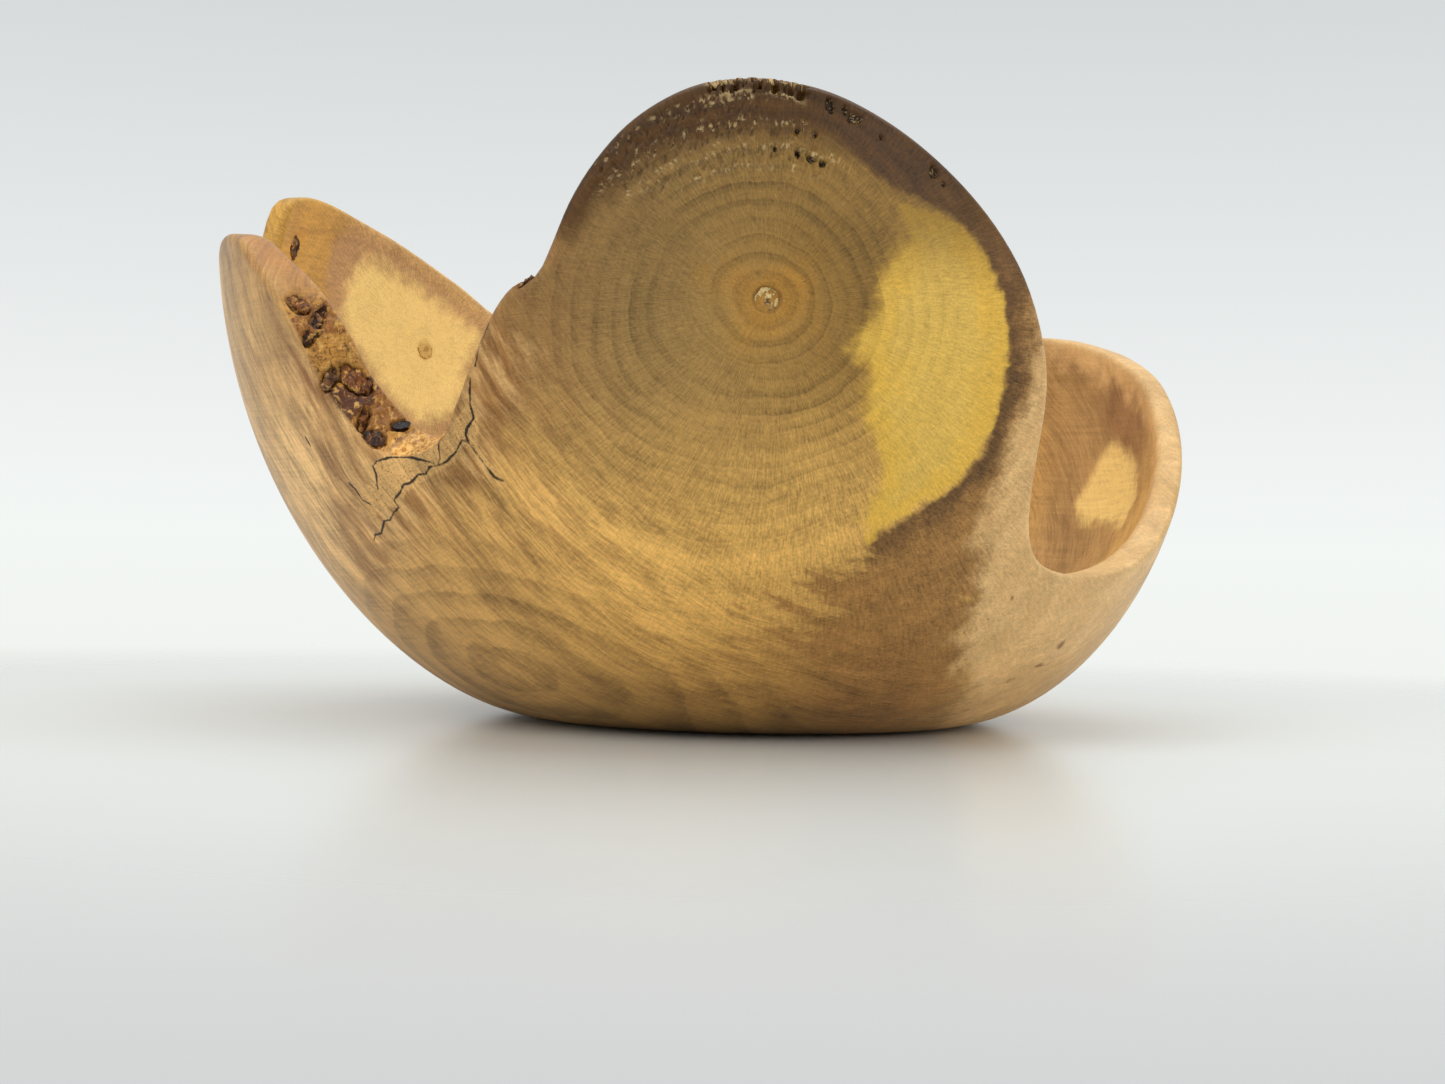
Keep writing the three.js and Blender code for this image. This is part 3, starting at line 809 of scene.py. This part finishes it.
class Nodes:
    """Builds a material or a world from short calls. A value is a number, a colour, a vector or
    another node's output."""

    def __init__(self, owner):
        owner.use_nodes = True
        self.tree = owner.node_tree
        self.tree.nodes.clear()

    def add(self, kind, inputs=None, **settings):
        node = self.tree.nodes.new("ShaderNode" + kind)
        for key, value in settings.items():
            setattr(node, key, value)
        for key, value in (inputs or {}).items():
            if isinstance(value, bpy.types.NodeSocket):
                self.tree.links.new(value, node.inputs[key])
            else:
                node.inputs[key].default_value = value
        return node

    def read(self, name, output="Fac"):
        return self.add("Attribute", attribute_name=name).outputs[output]

    def math(self, operation, a, b=0.0):
        return self.add("Math", {0: a, 1: b}, operation=operation).outputs[0]

    def times(self, a, b):
        return self.math("MULTIPLY", a, b)

    def plus(self, *values):
        total = values[0]
        for value in values[1:]:
            total = self.math("ADD", total, value)
        return total

    def swing(self, value, size):
        """A value of 0 to 1 as a swing of -size to +size."""
        return self.add("Math", {0: value, 1: 2 * size, 2: -size}, operation="MULTIPLY_ADD").outputs[0]

    def flip(self, value):
        return self.math("SUBTRACT", 1.0, value)

    def step(self, value, low, high):
        inputs = {"Value": value, "From Min": low, "From Max": high}
        return self.add("MapRange", inputs, interpolation_type="SMOOTHSTEP").outputs["Result"]

    def fade(self, share, a, b):
        """Goes from the number a to the number b."""
        return self.plus(self.times(a, self.flip(share)), self.times(b, share))

    def tooth(self, value, low, high):
        """A line that darkens slowly and ends sharply, once for each whole step of the value."""
        share = self.math("FRACT", value)
        return self.times(self.step(share, low, high), self.flip(self.step(share, high, 1.0)))

    def random_tone(self, value):
        """A number of 0 to 1 for each whole step of the value."""
        whole = self.math("FLOOR", value)
        return self.add("TexWhiteNoise", {"W": whole}, noise_dimensions="1D").outputs["Value"]

    def noise(self, vector, scale, detail=3.0, roughness=0.5, distortion=0.0):
        inputs = {"Scale": scale, "Detail": detail, "Roughness": roughness, "Distortion": distortion}
        return self.add("TexNoise", {"Vector": vector, **inputs}).outputs[0]

    def stretch(self, vector, x, y, z):
        return self.add("VectorMath", {0: vector, 1: (x, y, z)}, operation="MULTIPLY").outputs[0]

    def split(self, vector):
        return self.add("SeparateXYZ", {0: vector}).outputs

    def join(self, x, y=0.0, z=0.0):
        return self.add("CombineXYZ", {0: x, 1: y, 2: z}).outputs[0]

    def mix(self, share, a, b):
        a, b = (srgb(v) if isinstance(v, tuple) else v for v in (a, b))
        return self.add("Mix", {0: share, 6: a, 7: b}, data_type="RGBA").outputs[2]

    def brighten(self, colour, factor):
        return self.add("VectorMath", {0: colour, "Scale": factor}, operation="SCALE").outputs[0]


class MaterialNodes(Nodes):
    """A new material's nodes, which know each place in millimetres."""

    def __init__(self, name):
        self.material = bpy.data.materials.new(name)
        super().__init__(self.material)
        self.place = self.brighten(self.add("TexCoord").outputs["Object"], 1 / MM)

    def finish(self, colour, roughness, height, bump_size, **settings):
        """The surface: its colour, roughness and a relief of bump_size millimetres."""
        relief = self.add("Bump", {"Height": height, "Strength": 1.0, "Distance": bump_size * MM})
        inputs = {"Base Color": colour, "Roughness": roughness, "Normal": relief.outputs[0], **settings}
        shader = self.add("BsdfPrincipled", inputs)
        self.add("OutputMaterial", {"Surface": shader.outputs[0]})
        return self.material


# ---- The wood's grain ----

# Sizes in millimetres
RING_WIDTH = 2.9
FINE_RINGS_PER_RING = 3.3
OVAL_RING_WIDTH = 6.5
TORN_ROW_STEP = 4.1
RING_SHADE = 0.32
OVAL_RING_SHADE = 0.3

# Even noise, as scale per millimetre, detail and roughness
EVEN_NOISE = {
    "slow": (0.035, 2.0, 0.5),
    "quick": (0.3, 3.0, 0.5),
    "mottle": (0.14, 4.0, 0.6),
    "ragged": (0.5, 5.0, 0.6),
    "speck": (2.3, 3.0, 0.7),
}
# Noise along the streaks, as scale round their centre, scale away from it, detail and roughness
STREAK_NOISE = {
    # glow is painted light: broad light and dark streaks that stand in for the wood's chatoyant sheen
    "glow": (5, 0.08, 2.0, 0.5),
    "figure": (11, 0.24, 4.0, 0.6),
    "fibre": (24, 1.3, 5.0, 0.68),
    "thread": (70, 3.0, 2.0, 0.6),
}
# How much of each noise the surface's low relief takes
RELIEF = {"hair": 0.5, "fibre": 0.8, "speck": 0.3, "ripple": 0.4}
RELIEF_MM = 0.09


class WoodNodes(MaterialNodes):
    """The wood's nodes, with what its parts share: where a place is, its noises and its rings."""

    def wobble(self, value, **sizes):
        """The value, made uneven by a swing of each named noise."""
        return self.plus(value, *(self.swing(getattr(self, name), size) for name, size in sizes.items()))

    def zone(self, name, low, high, **sizes):
        """The share of a stored zone, with an uneven border that starts at low and is full at high."""
        return self.step(self.wobble(self.read(name), **sizes), low, high)

    def lay(self, new, share, strength):
        """Lays a new colour over the wood, by its share of each place and a strength of up to 1."""
        self.colour = self.mix(self.times(share, strength), self.colour, new)


def add_grain(s):
    """Gives the wood's nodes their grain."""
    s.sideways, _, s.height = s.split(s.place)
    s.low = s.flip(s.step(s.height, 26.0, 44.0))
    s.inside = s.read("across")
    s.end = s.step(s.read("end_grain"), 0.6, 0.9)
    s.side = s.flip(s.end)
    s.rays = s.read("rays", "Vector")
    for name, settings in EVEN_NOISE.items():
        setattr(s, name, s.noise(s.place, *settings))
    s.hair = s.noise(s.stretch(s.rays, 130, 130, 0.55), 1.0, 3.0, 0.6)
    s.ripple = s.noise(s.stretch(s.place, 0.8, 0.8, 2.6), 1.0, 3.0, 0.6, 1.5)
    add_streaks(s)
    add_rings(s)


def add_streaks(s):
    """Wavy streaks along the grain, from broad to hair-thin."""
    across, rise, distance = s.split(s.read("streaks", "Vector"))
    wave = s.plus(
        distance,
        s.times(s.read("depth"), 0.8),
        s.swing(s.noise(s.place, 0.025, 2.0), 6.0),
        s.swing(s.noise(s.place, 0.2, 2.0), 0.3),
    )
    s.flow = s.join(across, rise, wave)
    for name, (turn, away, detail, roughness) in STREAK_NOISE.items():
        setattr(s, name, s.noise(s.stretch(s.flow, turn, turn, away), 1.0, detail, roughness))


def add_rings(s):
    """Growth rings about the pith, a little uneven, and fainter inside the bowl."""
    s.pith = s.split(s.rays)[2]
    uneven = s.wobble(s.pith, slow=4.0, quick=0.5)
    ring = s.times(uneven, 1 / RING_WIDTH)
    s.ring_tone = s.random_tone(ring)
    patches = s.step(s.noise(s.place, 0.05, 2.0), 0.3, 0.62)
    strength = s.times(patches, s.plus(0.35, s.times(s.ring_tone, 0.75)))
    near_pith = s.plus(0.25, s.times(s.flip(s.step(s.pith, 26.0, 44.0)), 0.75))
    line = s.times(s.tooth(ring, 0.3, 0.92), near_pith)
    line = s.times(line, s.plus(s.times(strength, 0.85), 0.15))
    s.line = s.times(line, s.flip(s.times(s.inside, 0.75)))
    fine_ring = s.times(uneven, FINE_RINGS_PER_RING / RING_WIDTH)
    s.fine_line = s.step(s.math("FRACT", fine_ring), 0.3, 0.95)
    s.wide = s.noise(s.join(s.times(uneven, 0.13)), 1.0, 3.0, 0.6)


def plain_wood(s):
    """The colour before any zone, and how light or dark the grain makes it."""
    oval_place = s.wobble(s.read("oval"), slow=5.0, quick=0.8)
    near_oval = s.times(s.flip(s.step(s.read("oval"), 20.0, 42.0)), s.flip(s.inside))
    oval_line = s.times(s.tooth(s.times(oval_place, 1 / OVAL_RING_WIDTH), 0.2, 0.9), near_oval)
    open_side = s.times(s.side, s.flip(s.times(s.inside, 0.55)))
    open_side = s.times(open_side, s.flip(s.times(near_oval, 0.45)))
    s.shade = s.plus(
        1.08,
        # Side grain lighter than end grain, lifted further as painted bounce light
        s.times(s.side, 0.21),
        s.times(s.line, -RING_SHADE),
        s.swing(s.ring_tone, 0.05),
        s.swing(s.wide, 0.42),
        s.times(s.fine_line, -0.07),
        s.times(s.swing(s.hair, 0.8), s.plus(0.35, s.times(s.end, 0.6))),
        s.times(s.swing(s.thread, 0.5), s.plus(0.3, s.times(open_side, 0.7))),
        s.times(s.swing(s.fibre, 0.95), s.plus(0.14, s.times(open_side, 0.7))),
        s.times(s.swing(s.figure, 0.6), s.plus(0.08, s.times(open_side, 0.8))),
        # Painted chatoyant sheen on the open side grain
        s.times(s.swing(s.glow, 0.7), open_side),
        s.times(oval_line, -OVAL_RING_SHADE),
        s.swing(s.mottle, 0.26),
        s.swing(s.speck, 0.4),
    )
    heart = s.flip(s.step(s.wobble(s.pith, mottle=9.0), 2.0, 12.0))
    heart = s.times(heart, s.flip(s.inside))
    s.colour = s.read("tone", "Color")
    s.lay(HEART_ORANGE, heart, 0.5)
    rosy = s.flip(s.step(s.wobble(s.figure, fibre=0.5), 0.36, 0.54))
    s.lay(ROSY_BROWN, rosy, s.plus(0.04, s.times(open_side, 0.26)))


# ---- The wood's zones, from the first laid to the last ----


def brown_top(s):
    """The brown top of the front lobe, banded with the rings."""
    top = s.zone("top", -3.0, 3.5, slow=3.5, quick=2.0)
    s.banded = s.mix(s.plus(s.times(s.wide, 1.6), -0.42), TOP_DARK, EDGE_BROWN)
    s.lay(s.banded, top, 0.96)


def pink_zone(s):
    """Pink wood round the slot."""
    pink = s.zone("pink", -3.0, 2.5, mottle=5.0, quick=2.0)
    streaks = s.noise(s.stretch(s.flow, 11, 11, 0.3), 1.0, 4.0, 0.6)
    pink_wood = s.mix(s.step(streaks, 0.34, 0.66), PINK_DARK, PINK_LIGHT)
    s.lay(pink_wood, pink, 0.72)


def dark_band(s):
    """The purple-brown band: darkest and crisp beside the yellow wood, fading outwards and downwards."""
    torn_border = s.plus(s.swing(s.figure, 26.0), s.swing(s.fibre, 8.0), s.swing(s.mottle, 8.0))
    border = s.plus(s.swing(s.ragged, 1.8), s.times(torn_border, s.low))
    start = s.plus(-0.7, s.times(s.low, -4.0))
    end = s.plus(1.0, s.times(s.low, 4.0))
    dark = s.step(s.plus(s.read("dark"), border), start, end)
    away = s.wobble(s.times(s.read("yellow"), -1.0), mottle=6.0, ripple=2.0)
    fading = s.math("MAXIMUM", s.step(away, 1.0, 7.5), s.times(s.low, 0.75))
    fading = s.times(fading, s.flip(s.step(s.height, 80.0, 88.0)))
    band_wood = s.mix(s.wobble(fading, mottle=0.25), BAND_DARK, BAND_LIGHT)
    band_wood = s.mix(s.times(s.step(s.height, 86.0, 96.0), 0.7), band_wood, s.banded)
    s.lay(band_wood, dark, 0.93)
    inner = s.zone("dark_back", -1.4, 3.0, quick=1.5)
    inner_wood = s.mix(s.step(s.sideways, 0.0, 40.0), BAND_BACK, BAND_RIGHT)
    s.lay(inner_wood, inner, 0.85)
    s.shade = s.plus(s.shade, s.times(s.swing(s.ripple, 0.45), dark))


def sapwood(s):
    """Pale sapwood on the right, with a calmer grain."""
    border = s.plus(s.swing(s.mottle, 7.0), s.times(s.swing(s.slow, 10.0), s.low))
    sap = s.step(s.plus(s.read("sap"), border), -3.5, 3.0)
    clouds = s.noise(s.place, 0.12, 3.0, 0.6, 0.6)
    s.lay(s.mix(s.step(clouds, 0.38, 0.68), SAP_SHADE, SAP), sap, 0.94)
    calm = s.wobble(1.05, ripple=0.3, speck=0.3)
    s.shade = s.fade(s.times(sap, 0.5), s.shade, calm)


def yellow_heartwood(s):
    """Yellow heartwood, crisp beside the dark band, soft elsewhere, and paler inside the bowl, where the
    paler colour is painted light.
    """
    lobed = s.times(s.swing(s.quick, 2.4), s.flip(s.times(s.inside, 0.5)))
    depth = s.plus(s.read("yellow"), lobed, s.times(s.swing(s.ragged, 0.7), s.flip(s.inside)))
    far_from_band = s.flip(s.step(s.read("dark"), -5.0, -2.0))
    softness = s.plus(0.8, far_from_band, s.times(s.inside, -0.6))
    yellow = s.step(depth, s.times(softness, -1.0), softness)
    rich = s.wobble(s.flip(s.step(depth, 0.0, 9.0)), mottle=1.0, wide=0.5)
    yellow_wood = s.mix(s.step(rich, 0.1, 1.0), YELLOW_PALE, YELLOW_RICH)
    yellow_wood = s.mix(s.times(s.step(s.height, 78.0, 96.0), 0.85), yellow_wood, YELLOW_TOP)
    # Painted light on the inside of the bowl
    yellow_wood = s.mix(s.inside, yellow_wood, YELLOW_INSIDE_LIT)
    calm = s.wobble(1.08, speck=0.34, hair=0.34, fibre=0.16, mottle=0.1)
    calm = s.plus(calm, s.times(s.line, -0.09))
    s.lay(yellow_wood, yellow, 0.95)
    s.shade = s.fade(s.times(yellow, 0.8), s.shade, calm)


def spalting(s):
    """Pale patches beside black zone lines, and brown flecks in the sapwood."""
    pale = s.zone("pale_spalt", -0.3, 0.4, ragged=1.0)
    s.lay(s.mix(s.step(s.speck, 0.52, 0.66), SPALT_PALE, PINK_DARK), pale, 0.8)
    wiggle = s.swing(s.noise(s.place, 1.0, 4.0, 0.75), 0.3)
    swelling = s.swing(s.noise(s.place, 0.3, 2.0), 0.3)
    black = s.flip(s.step(s.plus(s.read("black_line"), wiggle, swelling), 0.08, 0.31))
    s.lay(SPALT_BLACK, black, 0.95)
    fleck = s.zone("flecks", -0.1, 0.5, ragged=0.9)
    s.lay(FLECK_BROWN, fleck, 0.8)


def slot_face(s):
    """The slot's own face: flakes of bark in three tones with painted shade between their layers, and an
    orange ledge at its bottom.
    """
    layers = s.noise(s.stretch(s.place, 0.9, 0.9, 0.5), 1.0, 5.0, 0.62, 0.4)
    uneven = s.swing(s.noise(s.place, 0.35, 3.0), 1.6)
    flake = s.plus(s.times(s.read("station"), 0.62), s.times(s.inside, 0.9), uneven)
    tone = s.random_tone(flake)
    edge = s.flip(s.step(s.math("FRACT", flake), 0.02, 0.16))
    bark_wood = s.mix(s.step(tone, 0.2, 0.34), FLAKE_DARK, FLAKE_BROWN)
    bark_wood = s.mix(s.step(tone, 0.5, 0.62), bark_wood, FLAKE_AMBER)
    bark_wood = s.mix(s.times(s.step(layers, 0.53, 0.62), 0.8), bark_wood, LAYER_PALE)
    # Painted shade between the bark layers
    bark_wood = s.mix(s.times(s.flip(s.step(layers, 0.36, 0.44)), 0.8), bark_wood, LAYER_SHADE)
    bark_wood = s.mix(s.times(edge, 0.7), bark_wood, FLAKE_EDGE)
    s.lay(bark_wood, s.read("bark"), 0.95)
    ledge_wood = s.mix(s.step(layers, 0.4, 0.58), LEDGE_ORANGE, LEDGE_PALE)
    s.lay(ledge_wood, s.read("ledge"), 0.9)


def torn_grain(s):
    """Pale fibres in the torn rows, painted shade flecked with pale fibres in the holes, and painted shade
    round the held pieces.
    """
    row = s.times(s.wobble(s.pith, quick=2.5), 1 / TORN_ROW_STEP)
    share = s.math("FRACT", row)
    in_row = s.times(s.step(share, 0.1, 0.3), s.flip(s.step(share, 0.5, 0.7)))
    pits = s.step(s.noise(s.stretch(s.rays, 45, 45, 1.0), 1.0, 3.0, 0.7), 0.45, 0.55)
    torn = s.times(s.read("torn"), s.times(in_row, pits))
    s.lay(TORN_PALE, torn, 0.8)
    # The sunk holes: painted shade, flecked with pale fibres
    hole = s.zone("holes", -0.15, 0.35)
    s.lay(s.mix(s.step(s.speck, 0.5, 0.7), HOLE_SHADE, HOLE_FIBRE), hole, 1.0)
    # Painted shade in the grooves round the held pieces
    gap_shade = s.flip(s.zone("pocket", 0.05, 0.3, ragged=0.5))
    gap_shade = s.times(gap_shade, s.flip(s.times(s.step(s.inside, 0.97, 1.0), 0.9)))
    s.lay(POCKET_SHADE, gap_shade, 0.75)
    return torn


def wood_material():
    """Oiled wood: its plain colour, its zones in order, and a low relief along the grain."""
    s = WoodNodes("oiled_spalted_maple")
    add_grain(s)
    plain_wood(s)
    brown_top(s)
    pink_zone(s)
    dark_band(s)
    sapwood(s)
    yellow_heartwood(s)
    spalting(s)
    slot_face(s)
    torn = torn_grain(s)
    roughness = s.plus(s.wobble(0.40, fibre=0.08), s.times(s.read("bark"), -0.08), s.times(torn, 0.3))
    relief = s.plus(*(s.times(getattr(s, name), size) for name, size in RELIEF.items()))
    colour = s.brighten(s.colour, s.shade)
    return s.finish(colour, roughness, relief, RELIEF_MM, **{"Specular IOR Level": 0.22})


# ---- The other materials ----


def bark_material(name, deep, warm, light):
    """Dry broken bark in three tones, from its cracks to its torn fibres."""
    s = MaterialNodes(name)
    layers = s.noise(s.stretch(s.place, 1.1, 1.1, 0.6), 1.0, 5.0, 0.65, 0.8)
    crumbs = s.noise(s.place, 2.5, 4.0, 0.7)
    colour = s.mix(s.step(layers, 0.38, 0.56), deep, warm)
    colour = s.mix(s.step(layers, 0.56, 0.64), colour, light)
    colour = s.brighten(colour, s.plus(1.0, s.swing(crumbs, 0.6)))
    return s.finish(colour, s.plus(0.55, s.swing(crumbs, 0.2)), s.plus(layers, s.times(crumbs, 0.6)), 0.5)


def knot_material():
    """A black knot with faint flat rings."""
    s = MaterialNodes("black_knot")
    rings = s.noise(s.stretch(s.place, 1.5, 1.5, 3.0), 1.0, 3.0, 0.6, 1.0)
    colour = s.mix(s.step(rings, 0.35, 0.7), KNOT_BLACK, KNOT_BROWN)
    return s.finish(colour, s.plus(0.4, s.swing(rings, 0.15)), rings, 0.2)


def pith_material(name, pale, shaded, dark):
    """Soft pith: pale cells, shaded between them, with a few dark patches."""
    s = MaterialNodes(name)
    cells = s.noise(s.place, 2.2, 4.0, 0.7, 0.5)
    patch = s.noise(s.place, 0.6, 3.0)
    colour = s.mix(s.step(cells, 0.35, 0.6), shaded, pale)
    colour = s.mix(s.flip(s.step(patch, 0.34, 0.46)), colour, dark)
    return s.finish(colour, s.plus(0.7, s.swing(cells, 0.1)), cells, 0.3)


# How far from the bowl the card starts to fade and is gone, in millimetres
FLOOR_FADE = (120.0, 330.0)


def floor_material():
    """Pale card that fades into the surroundings far from the object."""
    s = MaterialNodes("pale_card")
    flat = s.stretch(s.place, 1, 1, 0)
    distance = s.add("VectorMath", {0: flat}, operation="LENGTH").outputs["Value"]
    colour = s.mix(s.noise(s.place, 0.02, 3.0), CARD_SHADE, CARD_PALE)
    shader = s.add("BsdfPrincipled", {"Base Color": colour, "Roughness": 0.2, "Specular IOR Level": 0.06})
    clear = s.add("BsdfTransparent")
    fade = s.step(distance, *FLOOR_FADE)
    mixed = s.add("MixShader", {0: fade, 1: shader.outputs[0], 2: clear.outputs[0]})
    s.add("OutputMaterial", {"Surface": mixed.outputs[0]})
    return s.material


# ---- The pieces ----

# Held pieces: CAD node, slot, finish, and how it is broken: cuts, inset and roughness in mm, noise per mm
CHIP = (3, 0.28, 0.75, 0.55)
HELD = [
    ("upper_bark_fleck", "bark", "amber_bark", CHIP),
    ("deep_bark_pocket", "bark", "dark_bark", (3, 0.5, 0.6, 0.7)),
    ("outer_bark_chip", "bark", "pale_bark", CHIP),
    ("middle_bark_plate", "bark", "amber_bark", CHIP),
    ("lower_bark_sliver", "bark", "amber_bark", CHIP),
    ("lower_bark_lump", "bark", "dark_bark", CHIP),
    ("black_knot", "knot", "knot", (3, 0.12, 0.2, 1.0)),
    ("shoulder_bark_chip", "bark", "pale_bark", CHIP),
    ("back_lobe_bark", "bark", "pale_bark", CHIP),
    ("front_pith_core", "pith", "soft_pith", (4, 0.3, 0.3, 0.9)),
    ("back_pith_core", "pith", "yellow_pith", (4, 0.08, 0.05, 1.2)),
]
# Each finish's three colours: bark from deep to light, pith pale, shaded and dark
BARK_FINISHES = {
    "dark_bark": ((30, 17, 11), (92, 50, 26), (164, 108, 52)),
    "amber_bark": ((78, 36, 14), (150, 88, 30), (222, 168, 84)),
    "pale_bark": ((60, 34, 18), (140, 92, 46), (206, 166, 104)),
}
PITH_FINISHES = {
    "soft_pith": ((232, 206, 146), (190, 152, 86), (110, 76, 36)),
    "yellow_pith": ((232, 192, 108), (214, 172, 92), (190, 146, 72)),
}


def build_pieces():
    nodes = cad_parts
    bowl = build_bowl([nodes[name] for name, _, _, _ in HELD])
    bowl.data.materials.append(wood_material())
    finishes = {"knot": knot_material()}
    for name, colours in BARK_FINISHES.items():
        finishes[name] = bark_material(name, *colours)
    for name, colours in PITH_FINISHES.items():
        finishes[name] = pith_material(name, *colours)
    for name, slot, finish, break_up in HELD:
        piece = ragged_copy(nodes[name], name + "_detail", slot, *break_up)
        piece.data.materials.append(finishes[finish])


# ---- The studio ----

# Sizes in metres, as everything in the studio, and angles in degrees
FLOOR_RADIUS = 0.4
FLOOR_GAP = 0.0003
CAMERA_PLACE = (-0.0059, -0.465, 0.037)
CAMERA_ROLL = 1.2
CLIP_START = 0.01
SENSOR_MM = 36
LENS_MM = 54.05
AIM_HEIGHT = 0.05
# Soft square lights, as name: place, size and power
LIGHTS = {
    "key_left": ((-0.7, -0.8, 0.9), 0.8, 3.8),
    "top": ((0.1, 0.2, 1.1), 1.0, 4.2),
    "right": ((0.7, -0.8, 0.5), 0.6, 2.1),
}


def build_floor():
    mesh = bpy.data.meshes.new("floor")
    b = bmesh.new()
    bmesh.ops.create_circle(b, cap_ends=True, radius=FLOOR_RADIUS, segments=96)
    b.to_mesh(mesh)
    b.free()
    floor = new_object("floor", mesh)
    floor.location.z = -FLOOR_GAP
    mesh.materials.append(floor_material())


# The surroundings' colours by the height of the direction, from below the horizon to above it
SURROUNDINGS = [
    (-0.30, (0.64, 0.65, 0.66)),
    (-0.12, (0.70, 0.71, 0.70)),
    (-0.064, (0.77, 0.775, 0.745)),
    (-0.052, (0.88, 0.905, 0.87)),
    (0.0, (0.90, 0.93, 0.91)),
    (0.05, (0.86, 0.885, 0.878)),
    (0.24, (0.67, 0.695, 0.70)),
]
SKY_SPAN = 0.3


def build_world():
    """Soft white surroundings, brightest at the horizon, with the card's own tone below it."""
    world = bpy.data.worlds.new("studio")
    bpy.context.scene.world = world
    s = Nodes(world)
    height = s.split(s.add("TexCoord").outputs["Generated"])[2]
    spread = s.add("MapRange", {"Value": height, "From Min": -SKY_SPAN, "From Max": SKY_SPAN})
    ramp = s.add("ValToRGB", {0: spread.outputs[0]})
    stops = ramp.color_ramp.elements
    while len(stops) < len(SURROUNDINGS):
        stops.new(0.5)
    for stop, (height, colour) in zip(stops, SURROUNDINGS):
        stop.position = (height + SKY_SPAN) / (2 * SKY_SPAN)
        stop.color = (*colour, 1)
    background = s.add("Background", {0: ramp.outputs[0]})
    s.add("OutputWorld", {0: background.outputs[0]})


def add_light(name, place, size, power):
    """A soft square light that faces the bowl."""
    light = bpy.data.lights.new(name, "AREA")
    light.size = size
    light.energy = power
    lamp = new_object(name, light)
    lamp.location = place
    aim = Vector((0, 0, AIM_HEIGHT)) - Vector(place)
    lamp.rotation_euler = aim.to_track_quat("-Z", "Y").to_euler()


def build_camera():
    camera = new_object("camera", bpy.data.cameras.new("camera"))
    camera.data.sensor_width = SENSOR_MM
    camera.data.lens = LENS_MM
    camera.data.clip_start = CLIP_START
    level = Matrix.Rotation(math.radians(90), 4, "X")
    roll = Matrix.Rotation(math.radians(CAMERA_ROLL), 4, "Z")
    camera.matrix_world = Matrix.Translation(CAMERA_PLACE) @ level @ roll
    bpy.context.scene.camera = camera


bpy.context.scene.view_settings.view_transform = "Standard"
build_camera()
build_floor()
build_world()
for name, (place, size, power) in LIGHTS.items():
    add_light(name, place, size, power)
build_pieces()
